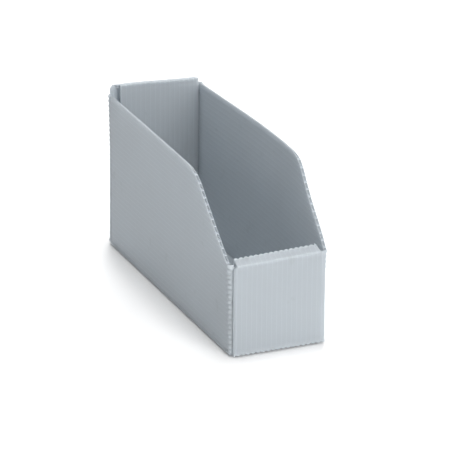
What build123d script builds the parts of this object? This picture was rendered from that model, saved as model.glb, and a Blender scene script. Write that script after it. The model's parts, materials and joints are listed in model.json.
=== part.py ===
from build123d import *
from math import atan2, degrees, radians, tan
import os

# A narrow open-fronted storage bin, die-cut and folded from one sheet of fluted twin-wall
# polypropylene. Every flat of the sheet is a panel of its own, and panels that fold against
# each other are joined by a living hinge: the outer skin, bent over the crease.
#
# Millimetres. X runs across the bin, Y from its front (-Y) to its rear (+Y) and Z up. The
# origin is the middle of the base's underside.

# ---- Driving dimensions -----------------------------------------------------------------------

length = 300.0  # outside, front to rear
width = 95.0  # outside, side to side: nineteen flutes
side_height = 153.5
front_height = 89.0  # up to the front wall's top crease
rear_height = 161.0  # up to the rear wall's top crease
front_rise = 5.0  # how far the front hem climbs towards the inside
rear_rise = 3.0

lip_height = 89.5  # of the sides' edge, where it meets the front
lip_run = 4.5  # how far back that edge is level before the slope begins
slope_run = 80.0  # from the bin's front back to where the sides reach full height
slope_radius = 45.0  # of the bend between a side's slanted and level edges
heel_radius = 3.5  # of a side's two bottom corners

sheet = 3.3  # thickness over both skins
skin = 0.4
rib = 0.35
pitch = 5.0  # from rib to rib
slip = 0.25  # clearance on each face of a corner flap, inside its double wall

# Where the end walls' panels begin and end across the bin: along X at the front. The rear
# wall is the front one turned half round, so there they run along -X.
outer_span = (-45.0, 46.0)
hem_span = (-42.0, 41.5)  # at the hem's outer crease
inner_span = (-42.0, 38.5)  # at the hem's inner crease, and down the inner wall
ear_radius = 4.5  # of the outer wall's two corners, which stand beyond the hem

flap_reach = 42.0  # from a side's outer face to the flap's free end
flap_shoulder = 43.2  # from the bin's middle to the step in the flap's top
flap_drop = 5.0  # from the flap's top, at its crease, down to its shoulder
flap_tail = 6.0  # how far the top of the flap's lower part falls towards its free end
flap_radius = 3.0
front_flap_step = 54.0  # height of the flap's lower part, which the inner wall swings over
rear_flap_step = 98.0

tab_width = 12.0
tab_spacing = 44.0
tab_gap = 0.3  # round a lock tab in its slot, and under the inner wall

hinge_leg = 1.6  # how far a living hinge reaches along each panel
hinge_radius = 0.5  # of its outer corner

# ---- Sizes worked out from them -----------------------------------------------------------------

fold_y = length / 2 - sheet - slip  # outer face of the flaps
hem_depth = 3 * sheet + 2 * slip  # over outer wall, flap and inner wall
floor_clear = sheet + tab_gap  # height of the pieces that stand just clear of the base
flap_bottom = floor_clear + 0.5
flute_rows = round(width / pitch)
side_rows = 31  # rows of flutes that cover a side's height
square = 90.0
overrun = 1.0  # how far a cutting shape passes the sheet's faces

IN = Vector(1, 0)  # in a wall's section: from its outer face into the bin
UP = Vector(0, 1)


# ---- Shared features ------------------------------------------------------------------------------


def at(plane, point):
    """Where a point of a plane's own drawing is in the bin."""
    return plane.from_local_coords(Vector(point.X, point.Y, 0))


def cut_crease(section, span, corner, along, inward, bend):
    """Cuts a panel's edge back for a crease, in the part being built.

    corner is where the outer skins of the two panels would meet, along points from it into
    this panel and inward through its thickness. The outer skin makes room for the living
    hinge, and the rest is mitred, so that the two panels close on each other at the bend.
    """
    lean = tan(radians(bend / 2))
    beyond = sheet + overrun
    outline = [
        corner - inward * overrun + along * hinge_leg,
        corner + inward * skin + along * hinge_leg,
        corner + inward * skin + along * skin * lean,
        corner + inward * beyond + along * beyond * lean,
        corner + inward * beyond - along * overrun,
        corner - inward * overrun - along * overrun,
    ]
    with BuildSketch(section.offset(span[0])) as waste:
        Polygon(*outline)
    extrude(waste.sketch, amount=span[1] - span[0], mode=Mode.SUBTRACT)


def cut_flutes(middle, across, along, rows):
    """Runs a row of square channels through the part being built, between its two skins."""
    with BuildSketch(Plane(middle, x_dir=across, z_dir=along)) as cells:
        with GridLocations(pitch, pitch, rows, 1):
            Rectangle(pitch - rib, sheet - 2 * skin)
    extrude(cells.sketch, amount=length, both=True, mode=Mode.SUBTRACT)


def living_hinge(section, span, corner, first, second, bend):
    """The bent strip of skin along a crease. first and second are each panel's directions:
    from the corner along the panel, and inward through it."""
    inner = corner + first[1] * skin + first[0] * skin * tan(radians(bend / 2))
    outline = [
        corner,
        corner + first[0] * hinge_leg,
        corner + first[0] * hinge_leg + first[1] * skin,
        inner,
        corner + second[0] * hinge_leg + second[1] * skin,
        corner + second[0] * hinge_leg,
    ]
    with BuildPart() as hinge:
        with BuildSketch(section.offset(span[0])):
            Polygon(*outline)
            fillet(vertices().sort_by_distance(corner)[0], hinge_radius)
        extrude(amount=span[1] - span[0])
    return hinge


# ---- Base --------------------------------------------------------------------------------------------

# Sections: across the bin, with X to the right and Z up, and through each end wall.
across = Plane(origin=(0, 0, 0), x_dir=(1, 0, 0), z_dir=(0, -1, 0))
front_section = Plane(origin=(0, -length / 2, 0), x_dir=(0, 1, 0), z_dir=(1, 0, 0))
rear_section = Plane(origin=(0, length / 2, 0), x_dir=(0, -1, 0), z_dir=(-1, 0, 0))

side_span = (-fold_y, fold_y)
left_corner = Vector(-width / 2, 0)
right_corner = Vector(width / 2, 0)
wall_corner = Vector(0, 0)
tab_middle = hem_depth - sheet / 2  # from a wall's outer face in to its lock tabs

with BuildPart() as base:
    with BuildSketch():
        Rectangle(width, 2 * fold_y)
        for turn in (0, 180):
            with Locations(Location((0, 0), turn)):
                with Locations(((outer_span[0] + outer_span[1]) / 2, -length / 4)):
                    Rectangle(outer_span[1] - outer_span[0], length / 2)
    extrude(amount=sheet)
    cut_crease(across, side_span, left_corner, IN, UP, square)
    cut_crease(across, side_span, right_corner, -IN, UP, square)
    for section in (front_section, rear_section):
        cut_crease(section, outer_span, wall_corner, IN, UP, square)
    cut_flutes((0, 0, sheet / 2), (1, 0, 0), (0, 1, 0), flute_rows)
    with BuildSketch() as slots:
        with GridLocations(tab_spacing, length - 2 * tab_middle, 2, 2):
            Rectangle(tab_width + 2 * tab_gap, sheet + 2 * tab_gap)
    extrude(slots.sketch, amount=sheet, mode=Mode.SUBTRACT)

left_base_hinge = living_hinge(
    across, (heel_radius - fold_y, fold_y - heel_radius), left_corner, (IN, UP), (UP, IN), square
)


# ---- Sides and their corner flaps ------------------------------------------------------------------------

side_face = Plane(origin=(-width / 2, 0, 0), x_dir=(0, 1, 0), z_dir=(1, 0, 0))
plan = Plane.XY  # sections through the flaps' upright creases
row_middle = side_rows * pitch / 2  # height of the middle row of flutes

with BuildPart() as left_side:
    with BuildSketch(side_face):
        with BuildLine():
            Polyline(
                (-fold_y, 0),
                (-fold_y, lip_height),
                (lip_run - fold_y, lip_height),
                (slope_run - length / 2, side_height),
                (fold_y, side_height),
                (fold_y, 0),
                close=True,
            )
        make_face()
        fillet(vertices().group_by(Axis.Y)[0], heel_radius)
        fillet(vertices().group_by(Axis.Y)[-1].sort_by(Axis.X)[0], slope_radius)
    extrude(amount=sheet)
    cut_crease(across, side_span, left_corner, UP, IN, square)
    cut_crease(plan, (flap_bottom, side_height), Vector(-width / 2, -fold_y), UP, IN, square)
    cut_crease(plan, (flap_bottom, side_height), Vector(-width / 2, fold_y), -UP, IN, square)
    cut_flutes((sheet / 2 - width / 2, 0, row_middle), (0, 0, 1), (0, 1, 0), side_rows)


def corner_flap(corner, inward, tip, step):
    """The left flap of a double wall: full height beside the side, and cut down beyond the
    shoulder. corner is the crease seen from above, and inward its way into the bin."""
    fold = -width / 2
    free_end = fold + flap_reach
    with BuildPart() as flap:
        with BuildSketch(Plane(origin=(0, corner.Y, 0), x_dir=(1, 0, 0), z_dir=(0, -1, 0))):
            with BuildLine():
                Polyline(
                    (fold, flap_bottom),
                    (fold, tip),
                    (-flap_shoulder, tip - flap_drop),
                    (-flap_shoulder, step),
                    (free_end, step - flap_tail),
                    (free_end, flap_bottom),
                    close=True,
                )
            make_face()
            fillet(vertices().group_by(Axis.X)[-1], flap_radius)
        extrude(amount=-sheet * inward.Y)
        cut_crease(plan, (flap_bottom, tip), corner, IN, inward, square)
        middle = (0, corner.Y + inward.Y * sheet / 2, row_middle)
        cut_flutes(middle, (0, 0, 1), (1, 0, 0), side_rows)
    return flap


front_fold = Vector(-width / 2, -fold_y)
rear_fold = Vector(-width / 2, fold_y)
left_front_flap = corner_flap(front_fold, UP, lip_height, front_flap_step)
left_rear_flap = corner_flap(rear_fold, -UP, side_height, rear_flap_step)
left_front_hinge = living_hinge(
    plan, (flap_bottom, lip_height), front_fold, (UP, IN), (IN, UP), square
)
left_rear_hinge = living_hinge(
    plan, (flap_bottom, side_height), rear_fold, (-UP, IN), (IN, -UP), square
)


# ---- Double end walls ----------------------------------------------------------------------------------------


def span_middle(span):
    return (span[0] + span[1]) / 2


def outer_wall(section, height, bend):
    """The wall's outer panel, from its crease with the base up to the hem. It is wider than
    the hem, so that a rounded ear stands at each end of the top crease."""
    face = Plane(section.origin, x_dir=section.z_dir, z_dir=-section.x_dir)
    with BuildPart() as wall:
        with BuildSketch(face):
            with Locations((span_middle(outer_span), height / 2)):
                Rectangle(outer_span[1] - outer_span[0], height)
            fillet(vertices().group_by(Axis.Y)[-1], ear_radius)
        extrude(amount=-sheet)
        cut_crease(section, outer_span, wall_corner, UP, IN, square)
        cut_crease(section, hem_span, UP * height, -UP, IN, bend)
        cut_flutes(at(section, IN * (sheet / 2)), section.z_dir, (0, 0, 1), flute_rows)
    return wall


def hem(section, start, run, outer_bend, inner_bend):
    """The strip over the wall's top. run goes from its outer crease, at start, to its inner
    crease. One end is square, and the other tapers to the inner wall's width."""
    slant = run.normalized()
    down = slant.rotate(Axis.Z, -square)
    slant_in_bin = at(section, start + slant) - at(section, start)
    top = Plane(at(section, start), x_dir=section.z_dir, z_dir=section.z_dir.cross(slant_in_bin))
    middle = at(section, start + down * (sheet / 2))
    with BuildPart() as strip:
        with BuildSketch(top):
            Polygon(
                (hem_span[0], 0),
                (hem_span[1], 0),
                (inner_span[1], run.length),
                (inner_span[0], run.length),
            )
        extrude(amount=-sheet)
        cut_crease(section, hem_span, start, slant, down, outer_bend)
        cut_crease(section, hem_span, start + run, -slant, down, inner_bend)
        cut_flutes(middle, section.z_dir, slant_in_bin, flute_rows)
    return strip


def inner_wall(section, top, bend):
    """The wall's inner panel, hanging from the hem's inner crease to just above the base."""
    face = Plane(at(section, top), x_dir=section.z_dir, z_dir=-section.x_dir)
    middle = at(section, top - IN * (sheet / 2))
    with BuildPart() as wall:
        with BuildSketch(face):
            with Locations((span_middle(inner_span), (floor_clear - top.Y) / 2)):
                Rectangle(inner_span[1] - inner_span[0], top.Y - floor_clear)
        extrude(amount=sheet)
        cut_crease(section, inner_span, top, -UP, -IN, bend)
        cut_flutes(middle, section.z_dir, (0, 0, 1), flute_rows)
    return wall


def lock_tabs(section):
    """The two tabs under an inner wall, which drop through slots in the base."""
    foot = Plane(at(section, IN * tab_middle), x_dir=section.z_dir, z_dir=(0, 0, 1))
    with BuildPart() as tabs:
        with BuildSketch(foot.offset(tab_gap)):
            with GridLocations(tab_spacing, 0, 2, 1):
                Rectangle(tab_width, sheet)
        extrude(amount=sheet)
        middle = foot.offset(tab_gap).origin
        cut_flutes(middle, section.z_dir, (0, 0, 1), flute_rows)
    return tabs


def end_wall(section, height, rise):
    """Every piece of one double wall, by what it is called."""
    crest = UP * height
    run = Vector(hem_depth, rise)
    slant = run.normalized()
    down = slant.rotate(Axis.Z, -square)
    outer_bend = square - degrees(atan2(rise, hem_depth))
    inner_bend = 2 * square - outer_bend
    return {
        "base_hinge": living_hinge(
            section, outer_span, wall_corner, (IN, UP), (UP, IN), square
        ),
        "outer_wall": outer_wall(section, height, outer_bend),
        "outer_hem_hinge": living_hinge(
            section, hem_span, crest, (-UP, IN), (slant, down), outer_bend
        ),
        "hem": hem(section, crest, run, outer_bend, inner_bend),
        "inner_hem_hinge": living_hinge(
            section, inner_span, crest + run, (-slant, down), (-UP, -IN), inner_bend
        ),
        "inner_wall": inner_wall(section, crest + run, inner_bend),
        "lock_tabs": lock_tabs(section),
    }


# ---- The whole bin -----------------------------------------------------------------------------------------------

left_half = {
    "base_hinge": left_base_hinge,
    "side": left_side,
    "front_flap": left_front_flap,
    "rear_flap": left_rear_flap,
    "front_hinge": left_front_hinge,
    "rear_hinge": left_rear_hinge,
}

pieces = {"base": base.part}
for name, piece in left_half.items():
    pieces["left_" + name] = piece.part
    pieces["right_" + name] = mirror(piece.part, about=Plane.YZ)
for name, piece in end_wall(front_section, front_height, front_rise).items():
    pieces["front_" + name] = piece.part
for name, piece in end_wall(rear_section, rear_height, rear_rise).items():
    pieces["rear_" + name] = piece.part

os.makedirs("parts", exist_ok=True)
for name, part in pieces.items():
    part.label = name
    export_step(part, f"parts/{name}.step")
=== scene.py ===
import bpy
import json
import math
import numpy as np
from mathutils import Matrix, Vector

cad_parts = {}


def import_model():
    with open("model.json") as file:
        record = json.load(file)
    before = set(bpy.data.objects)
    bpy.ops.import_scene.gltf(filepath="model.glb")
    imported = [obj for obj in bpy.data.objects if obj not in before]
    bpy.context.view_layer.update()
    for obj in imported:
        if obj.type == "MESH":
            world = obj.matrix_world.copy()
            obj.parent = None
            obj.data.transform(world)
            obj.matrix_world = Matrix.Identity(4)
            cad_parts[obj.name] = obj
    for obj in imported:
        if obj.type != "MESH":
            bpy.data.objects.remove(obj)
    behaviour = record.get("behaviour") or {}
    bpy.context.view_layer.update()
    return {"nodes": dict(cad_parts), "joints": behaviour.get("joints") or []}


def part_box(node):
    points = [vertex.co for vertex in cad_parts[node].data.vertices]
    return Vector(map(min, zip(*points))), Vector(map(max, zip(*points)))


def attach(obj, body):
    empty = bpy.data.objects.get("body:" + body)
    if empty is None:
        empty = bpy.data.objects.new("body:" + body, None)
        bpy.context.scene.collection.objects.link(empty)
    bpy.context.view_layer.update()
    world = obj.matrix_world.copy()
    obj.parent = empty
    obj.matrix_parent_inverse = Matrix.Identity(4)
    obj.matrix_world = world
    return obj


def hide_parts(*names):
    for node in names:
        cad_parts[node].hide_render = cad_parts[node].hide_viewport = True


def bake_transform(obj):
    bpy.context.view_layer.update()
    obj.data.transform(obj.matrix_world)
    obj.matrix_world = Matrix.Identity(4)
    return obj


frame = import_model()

# A narrow open-fronted bin, die-cut and folded from one sheet of fluted twin-wall plastic.
# Each flat panel is built with its two skins, its ribs and its open flutes, and each crease
# as a bent strip of skin that is puffed over every flute and pinched at every rib. Lengths
# are in millimetres until a mesh is made, in the frame's axes: the front is at -Y.

# ---- Sizes from the frame ---------------------------------------------------------------------

MM = 0.001
X, Y, Z = np.eye(3)


def cad_box(node):
    low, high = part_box(node)
    return np.array(low) / MM, np.array(high) / MM


def node_span(node):
    """What a node spans along X."""
    low, high = cad_box(node)
    return low[0], high[0]


def axis_point(joint_name):
    joint = next(j for j in frame["joints"] if j["name"] == joint_name)
    return np.array(joint["pos_m"]) / MM


side_low, side_high = cad_box("left_side")
half_width = -side_low[0]
side_height = side_high[2]
sheet = side_high[0] - side_low[0]
half_length = abs(axis_point("front_wall_drop")[1])
fold_y = cad_box("left_rear_flap")[1][1]  # outer face of the corner flaps
flap_low, lip_height = cad_box("left_front_hinge")[0][2], cad_box("left_front_hinge")[1][2]
flap_end = cad_box("left_front_flap")[1][0]
front_height = axis_point("front_hem_unfold")[2]
rear_height = axis_point("rear_hem_unfold")[2]

flutes_across = 19
pitch = 2 * half_width / flutes_across
skin = 0.12 * sheet
rib = 0.07 * pitch

# ---- Other sizes ------------------------------------------------------------------------------

lip_run = 4.5  # how far back a side's edge is level before its slope begins
slope_run = 80.0  # from the bin's front back to where the sides reach full height
bend_radius = 45.0  # of the sides' outline there
heel_radius = 3.5  # of the sides' bottom corner at the rear
fold_foot = 1.0  # height where the front corner folds begin
ear_radius = 4.5
flap_shoulder = 43.2  # from the bin's middle to the step in a flap's top
flap_drop = 5.0
flap_tail = 6.0
flap_radius = 3.0
flap_step = {"front": 54.0, "rear": 98.0}
tab_width = 12.0
tab_gap = 0.3  # round a lock tab in its slot

sag = 0.08  # how far a skin sinks between two ribs
dent = 0.22  # how deep the sheet dips beside a crease
dent_run = 7.0  # how far that dip reaches
flat = 0.9  # of crease strip beyond its round, on each panel
slit = 0.06  # half the width of a knife cut
# How far the outer skin is pressed in where a panel's last flute is cut open.
edge_crush = 0.2
side_top_crush = 0.9
ear_crush = (1.5, 0.4)  # left and right

# Paleness of a panel, and how far it fades over: stress-whitening, and at a cut end partly a painted
# edge highlight.
cut_white, cut_fade = 0.3, 0.8  # at a cut end
fold_white, fold_fade = 0.45, 2.5  # beside a crease, as a share of the crease's own

# How far the folded sheet has sprung out of square.
right_bow = 10.0
right_flare, right_flare_run = 9.0, 28.0
left_lean = 2.2
left_flare, left_flare_run = 5.3, 60.0
flare_y = -142.0  # where both sides flare the most
sprung_from, sprung_full = 30, 44  # from the bin's middle, where a side's spring sets in
ripple = 0.3
base_sag = 1.5
front_lift, front_tilt = 0.6, 1.1
rear_drop, rear_drop_span = 3.5, (-35, 46)


def smooth(value, start, end):
    share = np.clip((value - start) / (end - start), 0, 1)
    return share * share * (3 - 2 * share)


# ---- How the folded sheet has settled ---------------------------------------------------------


def settle_sides(points):
    """The sides spring outward between their ends, the right one the most, and flare where
    their slopes begin."""
    x, y, z = points.T
    forward = np.clip((fold_y - y) / (2 * fold_y), 0, 1)
    up = np.clip(z / side_height, 0, None)
    right_peak = right_flare * np.exp(-(((y - flare_y) / right_flare_run) ** 2))
    left_peak = left_flare * np.exp(-(((y - flare_y) / left_flare_run) ** 2))
    right = right_bow * np.sin(math.pi * forward**1.3) * up**1.5 + right_peak * up**2.5
    left = (left_lean + left_peak) * up**2.5
    right *= smooth(x, sprung_from, sprung_full)
    left *= smooth(-x, sprung_from, sprung_full)
    wave = ripple * np.sin(y / 37 + z / 61) * np.sin(z / 33 + 1) * np.sin(math.pi * forward) * up
    moved = points.copy()
    moved[:, 0] += right - left + wave
    return moved


def settle_base(points):
    """The base sags between its creases, so that the bin stands on its middle."""
    x, y, z = points.T
    dip = np.cos(x / half_width * math.pi / 2) * np.cos(y / half_length * math.pi / 2)
    moved = points.copy()
    moved[:, 2] -= base_sag * dip
    return moved


def settle_walls(points):
    """The front wall's top climbs to the right, and the rear wall's falls."""
    x, y, z = points.T
    front = (front_lift + front_tilt * x / half_width) * np.clip(z / front_height, 0, 1.1) ** 2
    rear = -rear_drop * smooth(x, *rear_drop_span) * np.clip(z / rear_height, 0, 1.1) ** 2
    moved = points.copy()
    moved[:, 2] += np.where(y < 0, front, rear)
    return moved


# ---- Materials --------------------------------------------------------------------------------

sheet_colour = (0.615, 0.658, 0.69, 1)
pale_colour = (0.76, 0.81, 0.84, 1)
smudge_colour = (0.36, 0.40, 0.39, 1)
milk_colour = (0.94, 0.955, 0.97, 1)

# How many waves each pattern has to a metre: the streaks across and along the flutes, and the
# scratches in axes of their own.
streak_scale = (1300, 14, 0)
cloud_scale = 26.0
scratch_scale = (900, 60, 240)
mark_scale = 75.0

streak_depth = 0.00006  # in metres, as bump


class Nodes:
    """Short calls for building one material's node tree."""

    def __init__(self, name):
        self.material = bpy.data.materials.new(name)
        self.material.use_nodes = True
        self.tree = self.material.node_tree
        self.tree.nodes.clear()

    def add(self, kind, inputs=None, **settings):
        node = self.tree.nodes.new(kind)
        for key, value in settings.items():
            setattr(node, key, value)
        for key, value in (inputs or {}).items():
            if isinstance(value, bpy.types.NodeSocket):
                self.tree.links.new(value, node.inputs[key])
            else:
                node.inputs[key].default_value = value
        return node

    def math(self, operation, a, b=0.0, c=0.0):
        return self.add("ShaderNodeMath", {0: a, 1: b, 2: c}, operation=operation).outputs[0]

    def mix(self, share, a, b):
        return self.add("ShaderNodeMix", {0: share, 6: a, 7: b}, data_type="RGBA").outputs[2]

    def noise(self, place, scale, detail):
        inputs = {"Vector": place, "Scale": scale, "Detail": detail}
        return self.add("ShaderNodeTexNoise", inputs).outputs[0]

    def ramp(self, value, low, high, out_low=0.0, out_high=1.0):
        node = self.add(
            "ShaderNodeMapRange",
            {0: value, 1: low, 2: high, 3: out_low, 4: out_high},
            interpolation_type="SMOOTHSTEP",
        )
        return node.outputs[0]


def sheet_material(name, whitening_and_highlight_share, share_through, base_roughness):
    """Milky polypropylene: streaked along its flutes, scuffed and smudged, with painted light that
    makes it a little lighter over the ribs, and paler where it has been bent or cut: stress-whitening,
    with painted highlights on the crowns of crease puffs and at cut ends. share_through is the
    share of its scattered light that goes on through the skin."""
    n = Nodes(name)
    grain = n.add("ShaderNodeAttribute", attribute_name="grain").outputs["Vector"]
    white = n.add("ShaderNodeAttribute", attribute_name="whitening_and_highlight").outputs["Fac"]
    place = n.add("ShaderNodeTexCoord").outputs["Object"]
    split = n.add("ShaderNodeSeparateXYZ", {0: grain})

    # The ribs show as faint lines, one to a pitch: painted light, the sheet a little lighter over
    # each rib for the light that the rib scatters back through the milky skin.
    turn = n.math("FRACT", n.math("DIVIDE", split.outputs["X"], pitch * MM))
    away = n.math("ABSOLUTE", n.math("SUBTRACT", turn, 0.5))
    over_rib = n.ramp(away, 0.40, 0.49)

    # Extrusion streaks run along the flutes, and cloudy patches and scuffs lie across them.
    stretched = n.add("ShaderNodeVectorMath", {0: grain, 1: streak_scale}, operation="MULTIPLY")
    streaks = n.noise(stretched.outputs[0], 1.0, 3.0)
    clouds = n.noise(place, cloud_scale, 4.0)
    scratch_place = n.add("ShaderNodeMapping", {"Vector": place, "Rotation": (0.4, 0.7, 0.3)})
    scratch_place.inputs["Scale"].default_value = scratch_scale
    scratches = n.noise(scratch_place.outputs[0], 1.0, 2.0)
    scuffed = n.math("MULTIPLY", n.ramp(scratches, 0.66, 0.8), n.ramp(clouds, 0.5, 0.7))

    tone = n.math("MULTIPLY_ADD", streaks, 0.05, 0.975)
    tone = n.math("ADD", tone, n.math("MULTIPLY", n.math("SUBTRACT", clouds, 0.5), 0.10))
    # Painted light over the ribs.
    tone = n.math("ADD", tone, n.math("MULTIPLY", over_rib, 0.14))
    shaded = n.add("ShaderNodeVectorMath", {0: sheet_colour[:3], 3: tone}, operation="SCALE").outputs[0]
    # Paler where stress-whitened and where the painted highlights lie, which share one attribute, and
    # where scuffed.
    whitened_and_highlit = n.math("MULTIPLY", white, n.ramp(clouds, 0.2, 0.6, 0.75, 1.0))
    whitened_and_highlit = n.math("MULTIPLY_ADD", whitened_and_highlit, whitening_and_highlight_share, n.math("MULTIPLY", scuffed, 0.3))
    smudged = n.math("MULTIPLY", n.ramp(n.noise(place, mark_scale, 2.0), 0.66, 0.76), 0.22)
    final = n.mix(smudged, n.mix(whitened_and_highlit, shaded, pale_colour), smudge_colour)

    roughness = n.math("MULTIPLY_ADD", clouds, 0.16, base_roughness)
    roughness = n.math("MULTIPLY_ADD", scuffed, 0.15, roughness)
    bump_inputs = {"Strength": 0.25, "Distance": streak_depth, "Height": streaks}
    normal = n.add("ShaderNodeBump", bump_inputs).outputs[0]
    plastic = n.add(
        "ShaderNodeBsdfPrincipled",
        {"Base Color": final, "Roughness": roughness, "IOR": 1.49, "Normal": normal},
    )
    milk = n.mix(0.2, milk_colour, final)
    through = n.add("ShaderNodeBsdfTranslucent", {"Color": milk, "Normal": normal})
    both = n.add(
        "ShaderNodeMixShader", {0: share_through, 1: plastic.outputs[0], 2: through.outputs[0]}
    )
    n.add("ShaderNodeOutputMaterial", {"Surface": both.outputs[0]})
    return n.material


sheet_finish = sheet_material("sheet", whitening_and_highlight_share=0.5, share_through=0.55, base_roughness=0.42)
crease_finish = sheet_material("crease", whitening_and_highlight_share=0.6, share_through=0.45, base_roughness=0.62)

# ---- Meshes -----------------------------------------------------------------------------------


def make_piece(name, points, quads, grain, whitening_and_highlight, material):
    """One object from quads in millimetres, with the two attributes that its material reads:
    where each point is in the flat sheet, and how pale it is, from stress-whitening and painted
    highlights."""
    used, quads = np.unique(quads, return_inverse=True)
    quads = quads.reshape(-1, 4)
    mesh = bpy.data.meshes.new(name)
    mesh.from_pydata((points[used] * MM).tolist(), [], quads.tolist())
    mesh.attributes.new("grain", "FLOAT_VECTOR", "POINT").data.foreach_set(
        "vector", (grain[used] * MM).astype(np.float32).ravel()
    )
    mesh.attributes.new("whitening_and_highlight", "FLOAT", "POINT").data.foreach_set(
        "value", whitening_and_highlight[used].astype(np.float32)
    )
    mesh.shade_smooth()
    mesh.set_sharp_from_angle(angle=math.radians(38))
    mesh.materials.append(material)
    piece = bpy.data.objects.new(name, mesh)
    bpy.context.scene.collection.objects.link(piece)
    return piece


def surface_quads(solid):
    """The quads between the solid and the empty cells of a block of cells, facing outward."""
    shape = np.array(solid.shape) + 1
    corner = np.arange(shape.prod()).reshape(shape)
    padded = np.pad(solid, 1)
    quads = []
    for axis in range(3):
        cells = np.moveaxis(padded, (axis, (axis + 1) % 3, (axis + 2) % 3), (0, 1, 2))
        nodes = np.moveaxis(corner, (axis, (axis + 1) % 3, (axis + 2) % 3), (0, 1, 2))
        before = cells[:-1, 1:-1, 1:-1]
        after = cells[1:, 1:-1, 1:-1]
        ring = np.stack(
            [nodes[:, :-1, :-1], nodes[:, 1:, :-1], nodes[:, 1:, 1:], nodes[:, :-1, 1:]], -1
        )
        quads.append(ring[before & ~after])
        quads.append(ring[after & ~before][:, ::-1])
    return np.concatenate(quads)


# ---- The fluted sheet -------------------------------------------------------------------------


def flute_crown(across, first_rib):
    """0 at a rib, and 1 half way to the next."""
    phase = ((across - first_rib) / pitch) % 1
    return np.abs(np.sin(math.pi * phase))


def rib_places(low, high, first_rib):
    count = np.arange(math.ceil((low - first_rib) / pitch), math.floor((high - first_rib) / pitch) + 1)
    return first_rib + count * pitch


def columns(low, high, first_rib, extra):
    """Where a panel's mesh is divided across its flutes: at every rib's faces and between."""
    places = [low, high, *extra]
    for place in rib_places(low - pitch, high, first_rib):
        places += [place - rib / 2, place + rib / 2]
        places += [place + pitch * share for share in (0.25, 0.5, 0.75)]
    places = np.array(sorted(p for p in places if low <= p <= high))
    return places[np.append(True, np.diff(places) > slit / 2)]


row_step = 9.0
near_rows = np.array([0, 0.5, 1.0, 1.6, 2.4, 3.4, 5.0, 7.0, 10.0])  # from an end inward


def rows(low, high):
    """Where a panel's mesh is divided along its flutes, for each column: closer at its ends."""
    length = high - low
    close = near_rows[None, :] * np.minimum(1, length / (2 * near_rows[-1] + 2))[:, None]
    count = max(2, round((length.max() - 2 * near_rows[-1]) / row_step))
    start = low[:, None] + close
    finish = high[:, None] - close[:, ::-1]
    share = np.linspace(0, 1, count + 1)[None, 1:-1]
    middle = start[:, -1:] * (1 - share) + finish[:, :1] * share
    return np.concatenate([start, middle, finish], 1)


class Crease:
    """A fold line. bend is how far the sheet turns there, radius its outer round, puff the
    height from its pinched ribs out to the crowns of its flutes, and white how pale it is:
    stress-whitening, with a painted highlight on the crowns of its puffs. A skew below 1 moves
    the puff towards the crease's first panel."""

    def __init__(self, bend, radius, puff, white, skew=1.0):
        self.lean = math.tan(bend / 2)
        self.bend = bend
        self.radius = radius
        self.puff = puff
        self.white = white
        self.skew = skew
        self.reach = radius * self.lean + flat

    def setback(self):
        """How far back a panel stops at each of its four levels, outer face to inner face."""
        return np.array([self.reach, self.reach, self.lean * (sheet - skin), self.lean * sheet])


side_room = 4.4  # how much of a panel is squeezed up to let a crease in along its flutes
everywhere = (-math.inf, math.inf)


def set_back_sides(u, plan):
    """Where each column is at the four levels, once the panel stops short for its creases."""
    low, high = plan["across"]
    reach = min(side_room, (high - low) / 2)
    u4 = np.repeat(u[:, None], 4, -1)
    for edge, crease, sign in zip((low, high), plan["across_creases"], (1, -1)):
        if crease is not None:
            gone = np.clip(1 - np.abs(u - edge) / reach, 0, 1)
            u4 += sign * gone[:, None] * crease.setback()
    return u4


def creased_columns(u, span):
    return ((u > span[0]) & (u < span[1]))[:, None]


def set_back_ends(u, v, ends, plan, room):
    """The same along the flutes, where a crease may take only a part of the panel's end."""
    reach = np.minimum(room, (ends[:, 1] - ends[:, 0]) / 2)[:, None]
    v4 = np.repeat(v[..., None], 4, -1)
    for index, sign in ((0, 1), (1, -1)):
        crease, span = plan["end_creases"][index]
        if crease is not None:
            gap = np.abs(v - ends[:, index : index + 1])
            gone = np.clip(1 - gap / reach, 0, 1) * creased_columns(u, span)
            v4 += sign * gone[..., None] * crease.setback()
    return v4


def depths(u, v, ends, plan):
    """How deep the four levels lie at each point, and how pale the sheet is there: stress-whitened
    beside its creases, and at its cut ends partly with a painted edge highlight.
    """
    crown = flute_crown(u, plan["first_rib"])[:, None] * np.ones(v.shape)
    sunk = sag * crown
    whitening_and_highlight = np.zeros(v.shape)
    for index, (crease, span) in enumerate(plan["end_creases"]):
        gap = np.abs(v - ends[:, index : index + 1])
        # Paler at a cut end: partly stress-whitening, partly a painted edge highlight.
        at_end = cut_white * np.clip(1 - gap / cut_fade, 0, 1)
        if crease is not None:
            creased = creased_columns(u, span)
            sunk = sunk + dent * np.sin(math.pi * np.clip(gap / dent_run, 0, 1)) * creased
            at_end = np.where(creased, crease.white * fold_white * np.exp(-gap / fold_fade), at_end)
        whitening_and_highlight = np.maximum(whitening_and_highlight, at_end)

    w4 = np.ones((*v.shape, 4)) * np.array([0, skin, sheet - skin, sheet])
    w4[..., :2] += sunk[..., None]
    w4[..., 2:] -= sag * crown[..., None]
    # The skins close on each other beyond a panel's last ribs, or the whole way across a panel
    # that begins on a rib.
    ribs = rib_places(*plan["across"], plan["first_rib"])
    crushes = plan.get("crush", (edge_crush, edge_crush))
    for edge, last_rib, crush in zip(plan["across"], (ribs[0], ribs[-1]), crushes):
        loose = np.clip((u - last_rib) / (edge - last_rib + 0.001), 0, 1) ** 1.5
        w4[..., :2] += crush * loose[:, None, None]
        w4[..., 2:] -= crush / 2 * loose[:, None, None]
    return w4, whitening_and_highlight


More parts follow.
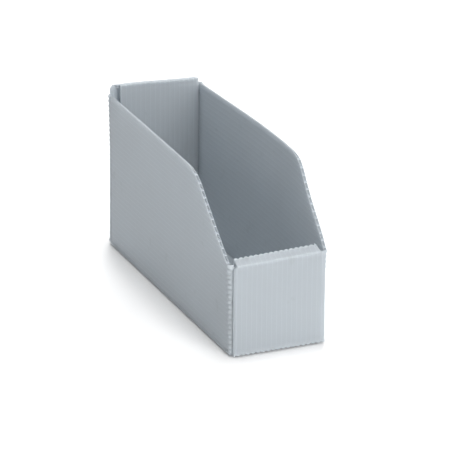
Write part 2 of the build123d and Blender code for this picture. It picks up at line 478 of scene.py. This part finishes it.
def solid_cells(u, v, plan, hole):
    """Which cells of a panel hold plastic: both skins, and the ribs between them."""
    low, high = plan["across"]
    middle = (u[1:] + u[:-1]) / 2
    ribbed = np.zeros(len(middle), bool)
    for place in rib_places(low + 1, high - 1, plan["first_rib"]):
        ribbed |= np.abs(middle - place) < rib / 2
    solid = np.ones((len(u) - 1, v.shape[1] - 1, 3), bool)
    solid[:, :, 1] = ribbed[:, None]
    if hole is not None:
        middle_v = (v[:-1, 1:] + v[:-1, :-1]) / 2
        solid &= ~hole(middle[:, None] * np.ones(middle_v.shape), middle_v)[..., None]
    return solid


def fluted_panel(name, plan, settle, extra=(), hole=None, room=8.0):
    """A panel of twin-wall sheet. plan holds its origin and axes (across the flutes, along them
    and inward), what it spans, its creases and where its ribs are. extra adds mesh columns,
    and room is how much of the panel is squeezed up to let a crease in at its ends."""
    origin, (across, along, inward) = plan["origin"], plan["axes"]
    u = columns(*plan["across"], plan["first_rib"], extra)
    ends = np.array([plan["ends"](value) for value in u])
    v = rows(ends[:, 0], ends[:, 1])
    if "rows" in plan:
        v = np.repeat(plan["rows"][None, :], len(u), 0)
    u4 = np.repeat(set_back_sides(u, plan)[:, None, :], v.shape[1], 1)
    v4 = set_back_ends(u, v, ends, plan, room)
    w4, whitening_and_highlight = depths(u, v, ends, plan)
    points = (
        origin
        + u4.reshape(-1, 1) * across
        + v4.reshape(-1, 1) * along
        + w4.reshape(-1, 1) * inward
    )
    quads = surface_quads(solid_cells(u, v, plan, hole))
    if np.dot(np.cross(across, along), inward) < 0:
        quads = quads[:, ::-1]
    grain = np.stack([u4.ravel() - plan["first_rib"], v4.ravel(), w4.ravel()], -1)
    whitening_and_highlight = np.repeat(whitening_and_highlight[..., None], 4, -1).ravel()
    return make_piece(name, settle(points), quads, grain, whitening_and_highlight, sheet_finish)


def crease_section(corner, first, second, crease):
    """The outline that a crease strip follows, and its outward directions: a flat, the round
    and the other flat."""
    tangent = crease.radius * crease.lean
    centre = corner + first[0] * tangent + first[1] * crease.radius
    path, normals = [], []
    for share in (1.0, 0.5, 0.0):
        path.append(corner + first[0] * (tangent + share * flat))
        normals.append(-first[1])
    for share in np.linspace(0, 1, 11)[1:-1]:
        turned = crease.bend * share
        normal = -first[1] * math.cos(turned) - first[0] * math.sin(turned)
        path.append(centre + normal * crease.radius)
        normals.append(normal)
    for share in (0.0, 0.5, 1.0):
        path.append(corner + second[0] * (tangent + share * flat))
        normals.append(-second[1])
    return np.array(path), np.array(normals)


def crease_strip(name, corner, run, span, first, second, crease, first_rib, settle):
    """The skin bent over a crease. corner is the fold line's place, run its direction, and first
    and second each panel's (direction away from the crease, direction inward). first_rib is
    None where the crease runs along the flutes instead of across them."""
    if first_rib is None:
        # Along the flutes the skin is only a little wavy.
        u = np.linspace(span[0], span[1], max(3, round((span[1] - span[0]) / 6)))
        puffed = 0.08 * np.sin(u / 7.3) + 0.06 * np.sin(u / 2.9 + 1)
        sunk = np.zeros(len(u))
    else:
        shares = (0, 0.06, 0.16, 0.3, 0.5, 0.7, 0.84, 0.94)
        u = [p + s * pitch for p in rib_places(span[0] - pitch, span[1], first_rib) for s in shares]
        u = np.array([span[0], *(p for p in u if span[0] + slit < p < span[1] - slit), span[1]])
        crown = flute_crown(u, first_rib)
        puffed = crease.puff * (crown**0.8 - 0.6)
        sunk = sag * crown

    path, normals = crease_section(corner, first, second, crease)
    steps = np.append(0, np.cumsum(np.linalg.norm(np.diff(path, axis=0), axis=1)))
    share = steps / steps[-1]
    window = np.sin(math.pi * share**crease.skew) ** 2
    lift = puffed[:, None] * window[None, :] - sunk[:, None]
    skins = lift[..., None] + np.array([0, -skin])
    points = (
        path[None, :, None, :]
        + run * u[:, None, None, None]
        + normals[None, :, None, :] * skins[..., None]
    )
    quads = surface_quads(np.ones((len(u) - 1, len(share) - 1, 1), bool))
    # Quads face outward where run, the path's direction and inward make a right-handed set.
    if np.dot(np.cross(run, -first[0]), first[1]) < 0:
        quads = quads[:, ::-1]

    shape = (len(u), len(share), 2)
    grain = np.zeros((*shape, 3))
    grain[..., 0] = (u - (first_rib or 0))[:, None, None]
    grain[..., 1] = steps[None, :, None]
    # Paler where the skin is puffed out and in the middle of the round: stress-whitening, and on the
    # crowns of the puffs a painted highlight for the light that they catch.
    pale = crease.white * (0.25 + 0.75 * np.clip(puffed / crease.puff + 0.6, 0, 1))
    whitening_and_highlight = np.broadcast_to((pale[:, None] * (0.5 + 0.5 * window))[..., None], shape).ravel()
    settled = settle(points.reshape(-1, 3))
    piece = make_piece(name, settled, quads, grain.reshape(-1, 3), whitening_and_highlight, crease_finish)
    return piece, (path[0], path[-1])


def ride_panel(piece, node, body):
    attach(piece, body)
    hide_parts(node)


def bend_strip(strip, node):
    """Bakes a crease strip's transform into its mesh, so it stays where it was built, and hides the
    hinge part that it stands in for.
    """
    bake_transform(strip)
    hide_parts(node)


# ---- Creases ----------------------------------------------------------------------------------

square = math.pi / 2
base_side_crease = Crease(square, radius=1.4, puff=0.1, white=0.4)
base_wall_crease = Crease(square, radius=1.4, puff=1.6, white=0.7)
corner_crease = Crease(square, radius=4.4, puff=1.4, white=0.35, skew=0.6)
inner_puff = {"front": 1.4, "rear": 0.8}
side_rib = 0.0  # the sides' ribs lie at whole pitches above the floor
wall_rib = half_width  # the other panels' ribs lie at whole pitches from the base's edges

# ---- Base -------------------------------------------------------------------------------------


def tab_slots():
    """What each slot for a lock tab spans, in X and in Y."""
    slots = []
    for end in ("front", "rear"):
        low, high = cad_box(end + "_lock_tabs")
        middle = (low[1] + high[1]) / 2
        half_slot = np.array([tab_width / 2 + tab_gap, sheet / 2 + tab_gap])
        for centre in (low[0] + tab_width / 2, high[0] - tab_width / 2):
            place = np.array([centre, middle])
            slots.append((place - half_slot, place + half_slot))
    return slots


def base_panel():
    front_low, front_high = node_span("front_outer_wall")
    rear_low, rear_high = node_span("rear_outer_wall")
    slots = tab_slots()

    def hole(u, v):
        gone = (v < -fold_y) & ((u < front_low) | (u > front_high))
        gone |= (v > fold_y) & ((u < rear_low) | (u > rear_high))
        for low, high in slots:
            gone |= (u > low[0]) & (u < high[0]) & (v > low[1]) & (v < high[1])
        return gone

    slot_u = [corner[0] for slot in slots for corner in slot]
    slot_v = [corner[1] for slot in slots for corner in slot]
    inside = np.arange(-132, 133, 8.25)  # mesh rows across the middle
    crease_row = 148  # just inside each end's crease
    v_rows = {-half_length, -crease_row, -fold_y, *slot_v, *inside, fold_y, crease_row, half_length}
    plan = {
        "origin": np.zeros(3),
        "axes": (X, Y, Z),
        "across": (-half_width, half_width),
        "across_creases": (base_side_crease, base_side_crease),
        "ends": lambda u: (-half_length, half_length),
        "end_creases": [(base_wall_crease, everywhere), (base_wall_crease, everywhere)],
        "first_rib": wall_rib,
        "rows": np.array(sorted(v_rows)),
    }
    extra = [front_low, front_high, rear_low, rear_high, *slot_u]
    piece = fluted_panel("base_panel", plan, settle_base, extra, hole, room=3.5)
    ride_panel(piece, "base", "base")


base_panel()

# ---- Sides and corner flaps -------------------------------------------------------------------

slope_start = np.array([lip_run - fold_y, lip_height])
slope_corner = np.array([slope_run - half_length, side_height])
slope_angle = math.atan2(*(slope_corner - slope_start)[::-1])
bend_tangent = bend_radius * math.tan(slope_angle / 2)
bend_centre = slope_corner + np.array([bend_tangent, -bend_radius])


def side_front(z):
    """Where a side's front edge is at a height: heel, upright fold, slope and round."""
    if z < fold_foot:
        return -fold_y + fold_foot - math.sqrt(fold_foot**2 - (fold_foot - z) ** 2)
    if z <= lip_height:
        return -fold_y
    rise = z - bend_centre[1]
    if rise > bend_radius * math.cos(slope_angle):
        return bend_centre[0] - math.sqrt(max(bend_radius**2 - rise**2, 0))
    return slope_start[0] + (z - lip_height) / math.tan(slope_angle)


def side_rear(z):
    if z < heel_radius:
        return fold_y - heel_radius + math.sqrt(heel_radius**2 - (heel_radius - z) ** 2)
    return fold_y


def both_faces(*places):
    """Mesh columns on the two faces of each knife cut."""
    return [place + side for place in places for side in (-slit, slit)]


def side_piece(hand, sign):
    """sign is -1 for the left side and 1 for the right."""
    plan = {
        "origin": sign * half_width * X,
        "axes": (Z, Y, -sign * X),
        "across": (0.0, side_height),
        "across_creases": (base_side_crease, None),
        "ends": lambda z: (side_front(z), side_rear(z)),
        "end_creases": [
            (corner_crease, (fold_foot, lip_height)),
            (corner_crease, (flap_low, math.inf)),
        ],
        "first_rib": side_rib,
        "crush": (edge_crush, side_top_crush),
    }
    extra = both_faces(fold_foot, flap_low, lip_height)
    extra += list(np.linspace(0.5, heel_radius, 5))
    extra += [side_height - depth for depth in (0.05, 0.2, 0.5, 1.0, 1.7, 2.6)]
    piece = fluted_panel(hand + "_side_panel", plan, settle_sides, extra)
    ride_panel(piece, hand + "_side", hand + "_side")


def flap_piece(hand, sign, end, toward):
    """toward is the direction from the flap's outer face into the bin: Y or -Y."""
    tip = {"front": lip_height, "rear": side_height}[end]
    step = flap_step[end]
    shoulder = half_width - flap_shoulder
    reach = half_width + flap_end

    def free_end(z):
        if z > tip - flap_drop:
            return (tip - z) / flap_drop * shoulder
        if z > step:
            return shoulder
        if z > step - flap_tail:
            return reach - (z - step + flap_tail) / flap_tail * (reach - shoulder)
        corner = max(0.0, flap_radius - (z - flap_low))
        return reach - flap_radius + math.sqrt(max(flap_radius**2 - corner**2, 0))

    narrowest = corner_crease.reach + 0.3
    blunt = 3.8 * flap_drop / shoulder  # cut off the flap's point, which is all crease
    plan = {
        "origin": sign * half_width * X - toward * fold_y,
        "axes": (Z, -sign * X, toward),
        "across": (flap_low, tip - blunt),
        "across_creases": (None, None),
        "ends": lambda z: (0.0, max(free_end(z), narrowest)),
        "end_creases": [(corner_crease, everywhere), (None, None)],
        "first_rib": side_rib,
    }
    extra = both_faces(step) + [flap_low + height for height in (0.3, 1, 1.8, 3)]
    name = f"{hand}_{end}_flap"
    piece = fluted_panel(name + "_panel", plan, settle_sides, extra, room=2.0)
    ride_panel(piece, name, hand + "_side")


def side_creases(hand, sign):
    corner = sign * half_width * X
    body = hand + "_side"
    strip, edges = crease_strip(
        hand + "_base_crease", corner, Y, (fold_foot - fold_y, fold_y - heel_radius),
        (-sign * X, Z), (Z, -sign * X), base_side_crease, None, settle_sides,
    )
    bend_strip(strip, hand + "_base_hinge")
    ends = ("front", Y, fold_foot, lip_height), ("rear", -Y, flap_low, side_height)
    for end, toward, foot, top in ends:
        strip, _ = crease_strip(
            f"{hand}_{end}_crease", corner - toward * fold_y, Z, (foot, top),
            (toward, -sign * X), (-sign * X, toward), corner_crease, side_rib, settle_sides,
        )
        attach(strip, body)
        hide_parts(f"{hand}_{end}_hinge")


for hand, sign in (("left", -1), ("right", 1)):
    side_piece(hand, sign)
    flap_piece(hand, sign, "front", Y)
    flap_piece(hand, sign, "rear", -Y)
    side_creases(hand, sign)

# ---- Double end walls -------------------------------------------------------------------------


def wall_panel(name, plan, extra=()):
    piece = fluted_panel(name + "_panel", plan, settle_walls, extra)
    ride_panel(piece, name, name)


def outer_wall(end, toward, foot, height, hem_span, outer_crease):
    """It is wider than the hem, so that a rounded ear stands at each end of its top crease."""
    span = node_span(end + "_outer_wall")

    def wall_top(x):
        if hem_span[0] < x < hem_span[1]:
            return height
        edge = min(x - span[0], span[1] - x)
        corner = max(0.0, ear_radius - edge)
        return height - ear_radius + math.sqrt(max(ear_radius**2 - corner**2, 0))

    plan = {
        "origin": foot,
        "axes": (X, Z, toward),
        "across": span,
        "across_creases": (None, None),
        "ends": lambda x: (0.0, wall_top(x)),
        "end_creases": [(base_wall_crease, everywhere), (outer_crease, hem_span)],
        "first_rib": wall_rib,
        "crush": ear_crush,
    }
    extra = both_faces(*hem_span)
    extra += [span[0] + depth for depth in (0.1, 0.3, 0.7, 1.3, 2.1)]
    extra += [span[1] - depth for depth in (0.1, 0.3, 0.7, 1.3, 2.1, 3.0)]
    wall_panel(end + "_outer_wall", plan, extra)


def hem(end, crest, slant, down, length, hem_span, inner_span, outer_crease, inner_crease):
    """The strip over the wall's top, with both ends rounded off down to the inner wall's width."""
    narrowest = outer_crease.reach + 0.2

    def hem_end(x):
        low_width, high_width = inner_span[0] - hem_span[0], hem_span[1] - inner_span[1]
        for gone, width in ((hem_span[1] - x, high_width), (x - hem_span[0], low_width)):
            if gone < width:
                rounded = length * math.sqrt(1 - (1 - gone / width) ** 2)
                return max(rounded, narrowest)
        return length

    plan = {
        "origin": crest,
        "axes": (X, slant, down),
        "across": hem_span,
        "across_creases": (None, None),
        "ends": lambda x: (0.0, hem_end(x)),
        "end_creases": [(outer_crease, everywhere), (inner_crease, inner_span)],
        "first_rib": wall_rib,
    }
    wall_panel(end + "_hem", plan, both_faces(*inner_span))


def inner_wall(end, toward, top, inner_span, inner_crease):
    drop = top[2] - cad_box(end + "_inner_wall")[0][2]
    plan = {
        "origin": top,
        "axes": (X, -Z, -toward),
        "across": inner_span,
        "across_creases": (None, None),
        "ends": lambda x: (0.0, drop),
        "end_creases": [(inner_crease, everywhere), (None, None)],
        "first_rib": wall_rib,
    }
    wall_panel(end + "_inner_wall", plan)


def end_wall(end, toward):
    """Outer wall, hem, inner wall and their creases. toward points from the wall into the bin."""
    outer_span = node_span(end + "_outer_wall")
    hem_span = node_span(end + "_hem")
    inner_span = node_span(end + "_inner_wall")
    foot = -toward * half_length
    crest = axis_point(end + "_hem_unfold")
    inner_crest = axis_point(end + "_inner_wall_unfold")
    run = inner_crest - crest
    length = np.linalg.norm(run)
    slant = run / length
    down = -(Z - np.dot(Z, slant) * slant)
    down /= np.linalg.norm(down)
    outer_bend = math.acos(np.dot(Z, slant))
    outer_crease = Crease(outer_bend, radius=1.8, puff=0.45, white=0.0)
    inner_crease = Crease(math.pi - outer_bend, radius=1.4, puff=inner_puff[end], white=0.6)

    outer_wall(end, toward, foot, crest[2], hem_span, outer_crease)
    hem(end, crest, slant, down, length, hem_span, inner_span, outer_crease, inner_crease)
    inner_wall(end, toward, inner_crest, inner_span, inner_crease)

    # Each crease joins a body to the next.
    bodies = "base", end + "_outer_wall", end + "_hem", end + "_inner_wall"
    creases = (
        ("base", foot, outer_span, (toward, Z), (Z, toward), base_wall_crease),
        ("outer_hem", crest, hem_span, (-Z, toward), (slant, down), outer_crease),
        ("inner_hem", inner_crest, inner_span, (-slant, down), (-Z, -toward), inner_crease),
    )
    for parent, child, made in zip(bodies, bodies[1:], creases):
        label, corner, span, first, second, crease = made
        name = f"{end}_{label}"
        strip, edges = crease_strip(
            name + "_crease", corner, X, span, first, second, crease, wall_rib, settle_walls,
        )
        bend_strip(strip, name + "_hinge")

    tabs = frame["nodes"][end + "_lock_tabs"]
    tabs.data.materials.clear()
    tabs.data.materials.append(sheet_finish)


end_wall("front", Y)
end_wall("rear", -Y)

# ---- Floor, light and camera ------------------------------------------------------------------


def floor():
    half = 6.0
    corners = [(-half, -half, 0), (half, -half, 0), (half, half, 0), (-half, half, 0)]
    mesh = bpy.data.meshes.new("floor")
    mesh.from_pydata(corners, [], [(0, 1, 2, 3)])
    n = Nodes("floor")
    paper = n.add("ShaderNodeBsdfDiffuse", {"Color": (0.94, 0.94, 0.94, 1)})
    n.add("ShaderNodeOutputMaterial", {"Surface": paper.outputs[0]})
    mesh.materials.append(n.material)
    ground = bpy.data.objects.new("floor", mesh)
    ground.location.z = -(base_sag + 0.1) * MM
    bpy.context.scene.collection.objects.link(ground)


def area_light(name, place, size, power):
    """A round soft box in metres and watts, turned to the middle of the bin."""
    data = bpy.data.lights.new(name, "AREA")
    data.shape = "DISK"
    data.size = size
    data.energy = power
    light = bpy.data.objects.new(name, data)
    light.location = place
    light.visible_camera = False
    lit_point = Vector((0, 0, 0.07))
    light.rotation_euler = (lit_point - Vector(place)).to_track_quat("-Z", "Y").to_euler()
    bpy.context.scene.collection.objects.link(light)


def world(strength):
    """White where the camera sees it, and dimmer as a light."""
    sky = bpy.data.worlds.new("studio")
    sky.use_nodes = True
    seen = sky.node_tree.nodes.new("ShaderNodeLightPath").outputs["Is Camera Ray"]
    brightness = sky.node_tree.nodes.new("ShaderNodeMath")
    brightness.operation = "MAXIMUM"
    brightness.inputs[1].default_value = strength
    background = sky.node_tree.nodes["Background"]
    background.inputs["Color"].default_value = (1, 1, 1, 1)
    sky.node_tree.links.new(seen, brightness.inputs[0])
    sky.node_tree.links.new(brightness.outputs[0], background.inputs["Strength"])
    bpy.context.scene.world = sky


def camera():
    """The photographer's place, in metres: to the left of the front, above, and far off with a
    long lens."""
    azimuth, elevation, roll = (math.radians(a) for a in (-23.61, 22.26, 0.58))
    aim, distance = Vector((0, 0, 0.075)), 4.288
    shift_right, shift_up = 9.67 * MM, -7.94 * MM
    back = Vector((
        math.sin(azimuth) * math.cos(elevation),
        -math.cos(azimuth) * math.cos(elevation),
        math.sin(elevation),
    ))
    data = bpy.data.cameras.new("camera")
    data.lens = 365.52
    data.sensor_width = 36
    data.clip_end = 50
    view = bpy.data.objects.new("camera", data)
    turn = (-back).to_track_quat("-Z", "Y").to_matrix()
    rolled = turn @ Matrix.Rotation(roll, 3, "Z")
    right, up = rolled.col[0], rolled.col[1]
    view.location = aim + back * distance + right * shift_right + up * shift_up
    view.rotation_euler = rolled.to_euler()
    bpy.context.scene.collection.objects.link(view)
    bpy.context.scene.camera = view


floor()
world(0.3)
area_light("top_light", (0, 0, 2.5), 1.0, 33)
area_light("front_light", (0.4, -2.2, 0.8), 1.4, 35)
area_light("left_light", (-2.2, -0.4, 1.2), 1.4, 7)
area_light("back_light", (0.9, 2.0, 1.3), 1.4, 44)
camera()
bpy.context.scene.view_settings.view_transform = "Standard"
